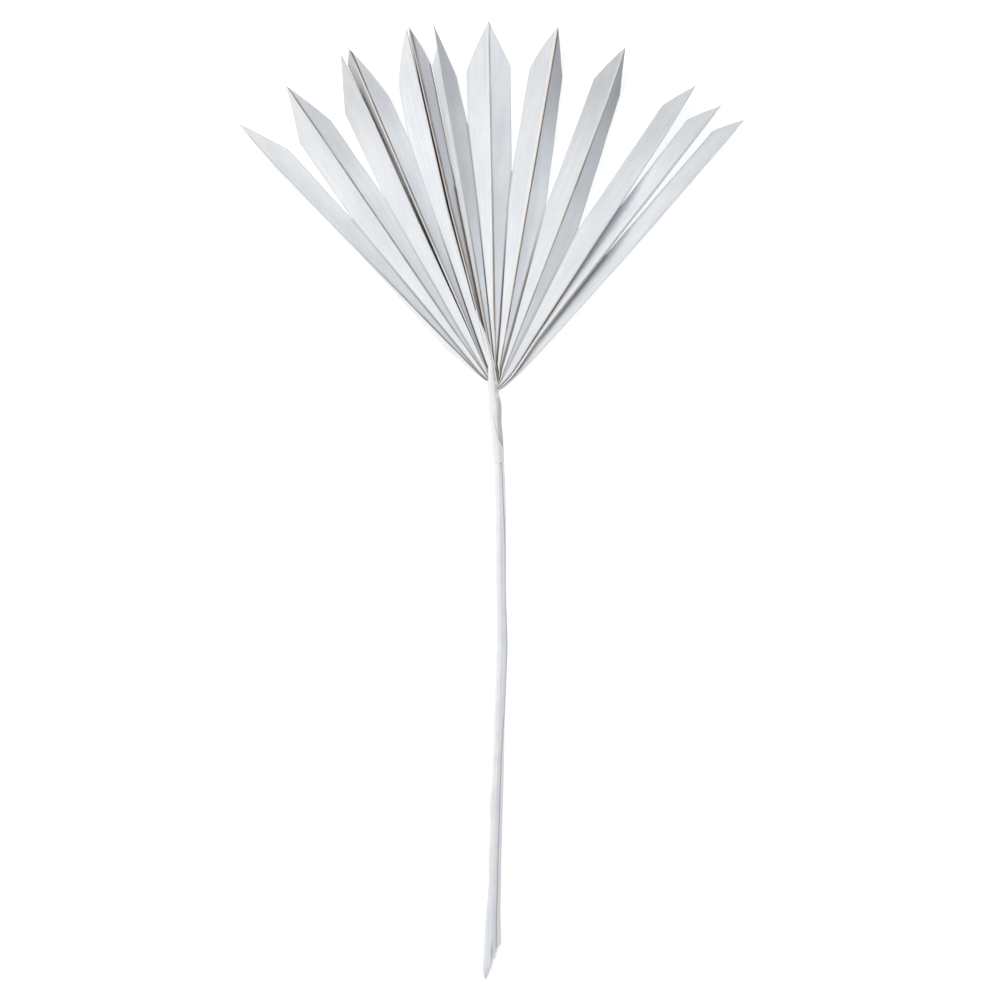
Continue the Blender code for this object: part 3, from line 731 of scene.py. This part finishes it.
def blade_sheet():
    bm = bmesh.new()
    names = ("across", "beside", "edge", "stain_and_shade", "joined", "painted_shading", "along", "number", "line", "cream")
    layers = {name: bm.verts.layers.float.new(name) for name in names}

    def add(place, across, seen, edge, stain_and_shade, joined, painted_shading, radius, index):
        vert = bm.verts.new((place + HUB) * MM)
        look = LOOKS[index]
        line, cream = graded(look.line, radius), graded(look.cream, radius)
        beside = seen / WIDE_LINES.get(index, 1.0)
        values = (across, beside, edge, stain_and_shade, joined, painted_shading, radius, index, line, cream)
        for name, value in zip(names, values):
            vert[layers[name]] = value
        return vert

    shared = common_radii()
    grid = []
    for index, segment in enumerate(SEGMENTS):
        rows = []
        for radius in shared + own_radii(segment):
            rows.append([add(*entry, radius, index) for entry in sheet_row(index, radius)])
        for low, high in zip(rows, rows[1:]):
            for a, b, c, d in zip(low, low[1:], high[1:], high):
                bm.faces.new((a, b, c, d))
        tip = add(rib_point(index, segment.tip[0]), 0.0, 0.0, 0.0, 0.0, 0.0, 1.0, segment.tip[0], index)
        for a, b in zip(rows[-1], rows[-1][1:]):
            bm.faces.new((a, b, tip))
        grid.append(rows)
    for index, valley in enumerate(VALLEYS):
        joined = [n for n, radius in enumerate(shared) if radius <= valley.split[0]]
        left = [grid[index][n][-1] for n in joined]
        right = [grid[index + 1][n][0] for n in joined]
        for a, b, c, d in zip(left, right, right[1:], left[1:]):
            bm.faces.new((a, b, c, d))
    bmesh.ops.recalc_face_normals(bm, faces=bm.faces)
    return mesh_from(bm, "blade")


def midrib_mesh():
    """The raised cords along all ribs."""
    bm = bmesh.new()
    names = ("along", "pale", "tip")
    layers = {name: bm.verts.layers.float.new(name) for name in names}
    for index, segment in enumerate(SEGMENTS):
        start = CORD_LATE_START.get(index, CORD_START)
        end = segment.tip[0] + CORD_PAST_TIP
        count = round((end - start) / CORD_STEP)
        rings = []
        for n in range(count + 1):
            radius = start + (end - start) * n / count
            middle = rib_point(index, radius)
            azimuth = math.radians(rib_azimuth(index, radius))
            right = Vector((math.cos(azimuth), -math.sin(azimuth), 0.0))
            thick, *pales = LOOKS[index].cord
            grown = smooth((radius - start) / (CORD_FULL - CORD_START))
            size = thick * (CORD_START_SHARE + (1 - CORD_START_SHARE) * grown)
            pale = graded(pales, radius) * smooth((radius - CORD_START) / (CORD_PALE - CORD_START))
            tapered = smooth((end - radius) / CORD_TAPER)
            size *= CORD_TIP_SHARE + (1 - CORD_TIP_SHARE) * tapered
            much, rate, segment_seed, seed = CORD_UNEVEN
            size *= 1.0 + much * uneven(radius * rate, index * segment_seed, seed)
            much, rate, segment_seed, seed = CORD_DRIFT
            middle += right * (much * uneven(radius * rate, index * segment_seed, seed) - CORD_SHIFT)
            middle.z -= CORD_SINK
            ring = []
            for side in range(CORD_SIDES):
                turn = 2 * math.pi * side / CORD_SIDES
                place = middle + size * (right * math.cos(turn) + Vector((0, 0, 1)) * math.sin(turn))
                vert = bm.verts.new((place + HUB) * MM)
                values = (radius + CORD_LANE * index, pale, 1 - tapered)
                for name, value in zip(names, values):
                    vert[layers[name]] = value
                ring.append(vert)
            rings.append(ring)
        join_rings(bm, rings)
        bm.faces.new(rings[0])
        bm.faces.new(rings[-1])
    bmesh.ops.recalc_face_normals(bm, faces=bm.faces)
    return mesh_from(bm, "midribs")


def mesh_from(bm, name):
    mesh = bpy.data.meshes.new(name)
    bm.to_mesh(mesh)
    bm.free()
    return mesh


def between(a, b, c, d, share):
    """A point between b and c on the smooth curve through all four."""
    linear = (c - a) * share
    square = (2 * a - 5 * b + 4 * c - d) * share**2
    cubic = (3 * b - a - 3 * c + d) * share**3
    return (2 * b + linear + square + cubic) / 2


def stalk_at(y):
    """Sideways place, height, half width and half height of the stalk here along Y."""
    n = 0
    while n < len(STALK) - 2 and y > STALK[n + 1][0]:
        n += 1
    share = (y - STALK[n][0]) / (STALK[n + 1][0] - STALK[n][0])
    rows = [STALK[max(0, min(len(STALK) - 1, n + step))] for step in (-1, 0, 1, 2)]
    x, z, width, height = (between(*values, share) for values in list(zip(*rows))[1:])
    waist = math.exp(-(((y - WAIST_AT) / WAIST_LENGTH) ** 2))
    return x - WAIST_SHIFT * waist, z, width - WAIST_DEPTH * waist, height


def round_section(section, steps):
    """The section as a smooth closed curve."""
    found = []
    count = len(section)
    for n in range(count):
        corners = [Vector(section[(n + step) % count]) for step in (-1, 0, 1, 2)]
        for step in range(steps):
            corner = between(*corners, step / steps)
            found.append((corner.x, max(-1.0, corner.y)))
    return found


def join_rings(bm, rings):
    for low, high in zip(rings, rings[1:]):
        for n in range(len(low)):
            after = (n + 1) % len(low)
            bm.faces.new((low[n], low[after], high[after], high[n]))


def groove_depth(u, v, y):
    """How deep the lengthwise grooves of the stalk are here, 0 to 1."""
    if v < 0.0:
        return 0.0
    much, rate, *seeds = GROOVE_WANDER
    wander = much * uneven(y * rate, *seeds)
    found = math.exp(-(((u - on_steps(DEEP_GROOVE, y) - wander) / DEEP_GROOVE_WIDTH) ** 2))
    for number, (place, wide, deep) in enumerate(GROOVES):
        much, rate, groove_seed, seed = GROOVE_DRIFT
        drift = much * uneven(y * rate, number * groove_seed, seed)
        much, rate, groove_seed, seed = GROOVE_FADE
        strength = deep * (GROOVE_STRENGTH + much * uneven(y * rate, number * groove_seed, seed))
        found += strength * math.exp(-(((u - place - drift) / wide) ** 2))
    place, wide, middle, long = FOOT_SPLIT
    split = math.exp(-(((u - place) / wide) ** 2))
    return found + split * math.exp(-(((y - middle) / long) ** 2))


def pressed(value, low, high):
    """The value, pressed almost flat against the limit if it lies past one."""
    within = min(max(value, low), high)
    return within + FOOT_PRESSED * (value - within)


def stalk_mesh():
    bm = bmesh.new()
    layer = bm.verts.layers.float.new("groove")
    section = round_section(STALK_SECTION, SECTION_STEPS)
    foot, end = FOOT_CUT[0][0], STALK[-1][0]
    fine = round((FOOT_FINE - foot) / FOOT_STEP)
    coarse = round((end - FOOT_FINE) / STALK_STEP)
    places = [foot + (FOOT_FINE - foot) * n / fine for n in range(fine)]
    places += [FOOT_FINE + (end - FOOT_FINE) * n / coarse for n in range(coarse + 1)]
    rings = []
    for y in places:
        x, z, width, height = stalk_at(y)
        lowered = 1 - FOOT_TIP_LOWERED * smooth((foot + FOOT_TIP_LENGTH - y) / FOOT_TIP_LENGTH)
        ring = []
        for u, v in section:
            turned = math.atan2(v, u)
            ridge = 0.0
            for much, around, along, seed in RIDGES:
                ridge += much * uneven(turned * around, y * along, seed)
            groove = groove_depth(u, v, y)
            grow = 1.0 + (STALK_RIDGE * ridge if v > UNDERSIDE else 0.0)
            over = v * grow - GROOVE_DEPTH * groove
            place = Vector((x + u * width * grow, y, z + over * height))
            if y < FOOT_FINE:
                right = on_steps(FOOT_CUT, y) + FOOT_SLOPE * (z - place.z)
                left = on_steps(FOOT_LEFT, y)
                place.x = pressed(place.x, left, max(right, left + FOOT_LEAST_WIDTH))
                place.z *= lowered
            place.z = max(0.0, place.z)
            vert = bm.verts.new((place + HUB) * MM)
            vert[layer] = groove
            ring.append(vert)
        rings.append(ring)
    join_rings(bm, rings)
    bm.faces.new(rings[0])
    bm.faces.new(rings[-1])
    bmesh.ops.recalc_face_normals(bm, faces=bm.faces)
    return mesh_from(bm, "stalk")


def wrap_crease(y, u, v):
    """How deep the small slanting creases at the wrap's top are here, 0 to 1."""
    if v <= 0:
        return 0.0
    low, high = WRAP_CREASES
    inner, soft = WRAP_CREASES_ACROSS
    phase = ((y + WRAP_CREASE_SLANT * u) / WRAP_CREASE_STEP) % 1.0
    found = max(0.0, 1 - abs(phase - 0.5) / WRAP_CREASE_WIDTH) * smooth((u - inner) / soft)
    return found * smooth((y - low) / WRAP_CREASES_SOFT) * smooth((high - y) / WRAP_CREASES_SOFT)


def wrap_shadow(y, u):
    """How shaded the paper right of the seam is here, 0 to 1."""
    low, high = WRAP_SHADED
    inner, soft = WRAP_SHADED_ACROSS
    found = smooth((u - inner) / soft)
    return found * smooth((y - low) / WRAP_SHADED_SOFT) * smooth((high - y) / WRAP_SHADED_SOFT)


def torn(tear, u, v):
    """How far a torn margin strays here."""
    much, rate, seed = tear
    return much * uneven(u * rate, v * rate, seed)


def wrap_at(y, u, v):
    """How far the wrap stands out from the stalk here, and how shaded its paper is."""
    seam = on_steps(WRAP_SEAM, u)
    turn = smooth((y - WRAP_TURN_END - torn(WRAP_TURN_TEAR, u, v)) / WRAP_EDGE_WIDTH)
    over = 1.0 if v < WRAP_SEAM_LOWEST else smooth((seam - y) / (2 * WRAP_EDGE_WIDTH))
    under = (1 - over) * (1 - turn)
    recess = WRAP_RECESS * under * (1 - smooth((u - WRAP_RECESS_EDGE) / (1 - WRAP_RECESS_EDGE)))
    proud = on_steps(WRAP_PROUD, y) + WRAP_TURN_PROUD * turn - recess
    foot = WRAP_FOOT + WRAP_TEAR[0] + torn(WRAP_TEAR, u, v)
    proud *= WRAP_MARGIN_SHARE + (1 - WRAP_MARGIN_SHARE) * smooth((y - foot) / WRAP_EDGE_WIDTH)
    high, around, slant, along = WRAP_FOLDS
    rough = high * uneven(u * around + y * slant, v * around, y * along)
    high, across, along, depth = WRAP_STRANDS
    strands = uneven(u * across, y * along, v * depth)
    rough += high * strands
    high, across, along, depth = WRAP_PUCKERS
    rough += high * uneven(u * across, y * along, v * depth)
    much, start, soft = WRAP_TIGHT
    proud += rough * (1 - much * smooth((y - start) / soft))
    crease = wrap_crease(y, u, v)
    least, broken = WRAP_SHADE_STRANDS
    shade = wrap_shadow(y, u) * (1 - over * (1 - turn)) * (least + broken * strands)
    shade += WRAP_SEAM_DARK * math.exp(-(((y - seam) / WRAP_SEAM_SHADE) ** 2)) * under
    shade += WRAP_CREASE_DARK * crease
    return max(WRAP_LEAST, proud - WRAP_CREASE_DEPTH * crease), max(0.0, min(1.0, shade))


def wrap_mesh():
    bm = bmesh.new()
    layer = bm.verts.layers.float.new("shaded")
    section = round_section(WRAP_SECTION, WRAP_SECTION_STEPS)
    count = round((WRAP_TOP - WRAP_FOOT) / WRAP_STEP)
    inner, outer = [], []
    for n in range(count + 1):
        y = WRAP_FOOT + (WRAP_TOP - WRAP_FOOT) * n / count
        x, z, width, height = stalk_at(y)
        inside, outside = [], []
        for u, v in section:
            proud, shaded = wrap_at(y, u, v)
            under = min(WRAP_GAP, 0.5 * proud)
            for ring, out in ((inside, under), (outside, proud)):
                place = Vector((x + u * (width + out), y, z + v * (height + out)))
                ring.append(bm.verts.new((place + HUB) * MM))
                ring[-1][layer] = shaded
        inner.append(inside)
        outer.append(outside)
    join_rings(bm, inner)
    join_rings(bm, outer)
    for end in (0, -1):
        for n in range(len(section)):
            after = (n + 1) % len(section)
            bm.faces.new((inner[end][n], inner[end][after], outer[end][after], outer[end][n]))
    bmesh.ops.recalc_face_normals(bm, faces=bm.faces)
    return mesh_from(bm, "wrap")


class Nodes:
    """Adds nodes to a material."""

    def __init__(self, name):
        self.material = bpy.data.materials.new(name)
        self.material.use_nodes = True
        self.tree = self.material.node_tree
        self.shader = self.tree.nodes["Principled BSDF"]

    def put(self, socket, value):
        if isinstance(value, bpy.types.NodeSocket):
            self.tree.links.new(value, socket)
        else:
            socket.default_value = value

    def attribute(self, name):
        made = self.tree.nodes.new("ShaderNodeAttribute")
        made.attribute_name = name
        return made.outputs["Fac"]

    def math(self, operation, a, b=0.0, c=0.0):
        made = self.tree.nodes.new("ShaderNodeMath")
        made.operation = operation
        for socket, value in zip(made.inputs, (a, b, c)):
            self.put(socket, value)
        return made.outputs[0]

    def vector(self, x, y, z):
        made = self.tree.nodes.new("ShaderNodeCombineXYZ")
        for socket, value in zip(made.inputs, (x, y, z)):
            self.put(socket, value)
        return made.outputs[0]

    def times(self, a, b):
        return self.math("MULTIPLY", a, b)

    def where(self):
        """Where a point of the piece is, in metres."""
        return self.tree.nodes.new("ShaderNodeTexCoord").outputs["Object"]

    def noise(self, place, scale=1.0, detail=3.0, rough=0.6):
        made = self.tree.nodes.new("ShaderNodeTexNoise")
        self.put(made.inputs["Vector"], place)
        made.inputs["Scale"].default_value = scale
        made.inputs["Detail"].default_value = detail
        made.inputs["Roughness"].default_value = rough
        return made.outputs["Fac"]

    def range(self, value, low, high, to_low=0.0, to_high=1.0):
        """A smooth step from to_low to to_high as the value goes from low to high."""
        made = self.tree.nodes.new("ShaderNodeMapRange")
        made.interpolation_type = "SMOOTHSTEP"
        self.put(made.inputs["Value"], value)
        for name, number in zip(("From Min", "From Max", "To Min", "To Max"), (low, high, to_low, to_high)):
            made.inputs[name].default_value = number
        return made.outputs["Result"]

    def band(self, value, low, high, soft):
        """1 between low and high, 0 outside."""
        risen = self.range(value, low - soft, low + soft)
        return self.times(risen, self.range(value, high - soft, high + soft, 1.0, 0.0))

    def mix(self, share, a, b, kind="MIX"):
        made = self.tree.nodes.new("ShaderNodeMix")
        made.data_type = "RGBA"
        made.blend_type = kind
        self.put(made.inputs["Factor"], share)
        colours = [socket for socket in made.inputs if socket.type == "RGBA"]
        for socket, value in zip(colours, (a, b)):
            self.put(socket, value)
        return [socket for socket in made.outputs if socket.type == "RGBA"][0]

    def bump(self, height, strength, distance):
        made = self.tree.nodes.new("ShaderNodeBump")
        self.put(made.inputs["Height"], height)
        made.inputs["Strength"].default_value = strength
        made.inputs["Distance"].default_value = distance
        self.tree.links.new(made.outputs["Normal"], self.shader.inputs["Normal"])

    def finish(self, colour, roughness):
        self.put(self.shader.inputs["Base Color"], colour)
        self.put(self.shader.inputs["Roughness"], roughness)
        self.shader.inputs["Metallic"].default_value = 0.0
        return self.material


def leaf_material():
    made = Nodes("bleached_leaf")
    across = made.attribute("across")
    edge = made.attribute("edge")
    joined = made.attribute("joined")
    along = made.attribute("along")
    lane = made.times(made.attribute("number"), STREAK_LANE)
    streaks = {}
    for name, (across_scale, along_scale, detail) in STREAKS.items():
        place = made.vector(made.times(across, across_scale), made.times(along, along_scale), lane)
        streaks[name] = made.noise(place, 1.0, detail)
    along_rib = made.noise(made.vector(made.times(along, LINE_BREAKS), lane, LINE_BREAKS_SEED))

    colour = made.mix(made.range(streaks["cloud"], *LEAF_CLOUDS), LEAF_WHITE, LEAF_COOL)
    for name, low, high, strength, tint in LEAF_TINTS:
        colour = made.mix(made.range(streaks[name], low, high, 0.0, strength), colour, tint)
    # Painted light and shade of each half: lighter or darker for how the light falls on it.
    painted_shading = made.attribute("painted_shading")
    colour = made.mix(1.0, colour, made.vector(painted_shading, painted_shading, painted_shading), "MULTIPLY")

    # Painted highlight on the rib's lit side, in its cream colour.
    cream = made.times(made.band(across, *CREAM_HIGHLIGHT_BAND), made.attribute("cream"))
    colour = made.mix(cream, colour, CREAM_AND_HIGHLIGHT)
    # Brown beside the rib: partly its own colour, partly painted shade on its side away from the light.
    line = made.times(made.band(made.attribute("beside"), *LINE_BAND), made.attribute("line"))
    line = made.times(line, made.range(along_rib, *LINE_FAINT))
    colour = made.mix(line, colour, BROWN_AND_SHADE)

    # Dark in and beside the valleys: partly their own stain, partly painted shade and painted shadow.
    stain_and_shade = made.times(made.range(edge, *STAIN_AND_SHADE_STEP), made.attribute("stain_and_shade"))
    colour = made.mix(stain_and_shade, colour, DARK)
    margin = made.times(made.range(edge, *MARGIN_STEP), made.math("SUBTRACT", 1.0, joined))
    colour = made.mix(margin, colour, TAN)

    height = made.math("ADD", made.times(streaks["veins"], 0.6), made.times(streaks["fine veins"], 0.4))
    made.bump(height, *LEAF_BUMP)
    return made.finish(colour, made.range(streaks["mottle"], *LEAF_SHEEN))


def midrib_material():
    made = Nodes("midrib")
    along = made.times(made.attribute("along"), MIDRIB_PATCHES)
    patches = made.noise(made.vector(along, MIDRIB_PATCHES_SEED, 0.0))
    grain = made.noise(made.where(), MIDRIB_GRAIN, 2.0)
    colour = made.mix(made.range(patches, *MIDRIB_WARMTH), MIDRIB_WHITE, MIDRIB_WARM)
    colour = made.mix(made.attribute("pale"), MIDRIB_BROWN, colour)
    colour = made.mix(made.range(grain, *MIDRIB_SPECKS), colour, TAN)
    colour = made.mix(made.attribute("tip"), colour, MIDRIB_TIP)
    made.bump(grain, *MIDRIB_BUMP)
    return made.finish(colour, made.range(patches, *MIDRIB_SHEEN))


def stalk_material():
    made = Nodes("bleached_stalk")
    where = made.where()
    stretch = made.tree.nodes.new("ShaderNodeMapping")
    stretch.inputs["Scale"].default_value = STALK_FIBRES
    made.put(stretch.inputs["Vector"], where)
    fibres = made.noise(stretch.outputs["Vector"])
    patches = made.noise(where, STALK_PATCHES, 3.0, 0.55)
    # Painted shade in the grooves and the split of the foot.
    groove = made.range(made.attribute("groove"), *STALK_GROOVE_SHADING)
    colour = made.mix(made.range(patches, *STALK_COOLNESS), STALK_WHITE, STALK_COOL)
    colour = made.mix(made.range(fibres, *STALK_STREAKS), colour, STALK_FIBRE)
    colour = made.mix(groove, colour, STALK_GROOVE_SHADE)
    made.bump(fibres, *STALK_BUMP)
    return made.finish(colour, made.range(patches, *STALK_SHEEN))


def wrap_material():
    made = Nodes("paper_tape")
    where = made.where()
    pulp = made.noise(where, WRAP_PULP)
    wrinkles = made.noise(where, WRAP_WRINKLES, 2.0, 0.5)
    colour = made.mix(made.range(pulp, *WRAP_GREYNESS), WRAP_WHITE, WRAP_GREY)
    colour = made.mix(made.attribute("shaded"), colour, WRAP_SHADE)
    made.bump(made.math("ADD", made.times(pulp, 0.4), wrinkles), *WRAP_BUMP)
    return made.finish(colour, made.range(wrinkles, *WRAP_SHEEN))


def floor_material():
    made = Nodes("floor")
    grain = made.noise(made.where(), FLOOR_GRAIN, 2.0, 0.5)
    colour = made.mix(grain, FLOOR_PALE, FLOOR_GREY)
    # The glow: painted light that keeps the floor white and fades shadows on it.
    made.shader.inputs["Emission Color"].default_value = (1.0, 1.0, 1.0, 1.0)
    made.shader.inputs["Emission Strength"].default_value = FLOOR_GLOW
    return made.finish(colour, made.range(grain, *FLOOR_SHEEN))


def placed(name, data):
    """A new object with this data, in the scene."""
    made = bpy.data.objects.new(name, data)
    bpy.context.scene.collection.objects.link(made)
    return made


def add_piece(mesh, surface, node, sharp_deg=None):
    made = placed(mesh.name, mesh)
    mesh.shade_smooth()
    if sharp_deg is not None:
        mesh.set_sharp_from_angle(angle=math.radians(sharp_deg))
    mesh.materials.clear()
    mesh.materials.append(surface)
    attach(made, "root")
    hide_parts(node)
    return made


def thicken(mesh, thickness):
    """The mesh with two faces and rims, this thick."""
    carrier = placed("carrier", mesh)
    solid = carrier.modifiers.new("thickness", "SOLIDIFY")
    solid.thickness = thickness * MM
    solid.offset = 0.0
    solid.use_even_offset = False
    graph = bpy.context.evaluated_depsgraph_get()
    made = bpy.data.meshes.new_from_object(carrier.evaluated_get(graph))
    name = mesh.name
    bpy.data.objects.remove(carrier)
    bpy.data.meshes.remove(mesh)
    made.name = name
    return made


def add_stage():
    bm = bmesh.new()
    bmesh.ops.create_grid(bm, x_segments=1, y_segments=1, size=FLOOR_SIZE)
    floor = placed("floor", mesh_from(bm, "floor"))
    floor.data.materials.append(floor_material())

    world = bpy.data.worlds.new("studio")
    world.use_nodes = True
    background = world.node_tree.nodes["Background"]
    background.inputs["Color"].default_value = (*AMBIENT_COLOUR, 1.0)
    background.inputs["Strength"].default_value = AMBIENT
    bpy.context.scene.world = world

    for place, aim, (width, length), power in SOFTBOXES:
        lamp = bpy.data.lights.new("softbox", "AREA")
        lamp.shape = "RECTANGLE"
        lamp.size = width
        lamp.size_y = length
        lamp.energy = power
        lamp.color = KEY_COLOUR
        box = placed("softbox", lamp)
        box.location = place
        box.rotation_mode = "QUATERNION"
        box.rotation_quaternion = (Vector(place) - Vector(aim)).to_track_quat("Z", "Y")
        box.visible_camera = False

    lens = bpy.data.cameras.new("camera")
    lens.sensor_width = SENSOR_WIDTH
    lens.lens = SENSOR_WIDTH * CAMERA_DISTANCE / VIEW_WIDTH
    lens.clip_start, lens.clip_end = CAMERA_CLIP
    camera = placed("camera", lens)
    camera.location = (*VIEW_MIDDLE, VIEW_HEIGHT + CAMERA_DISTANCE)
    bpy.context.scene.camera = camera
    bpy.context.scene.view_settings.view_transform = "Standard"


def main():
    add_piece(thicken(blade_sheet(), SHEET_THICKNESS), leaf_material(), "leaf")
    add_piece(midrib_mesh(), midrib_material(), "leaf")
    add_piece(stalk_mesh(), stalk_material(), "leaf", SHARP_DEG)
    add_piece(wrap_mesh(), wrap_material(), "stem_wrap", SHARP_DEG)
    add_stage()


main()
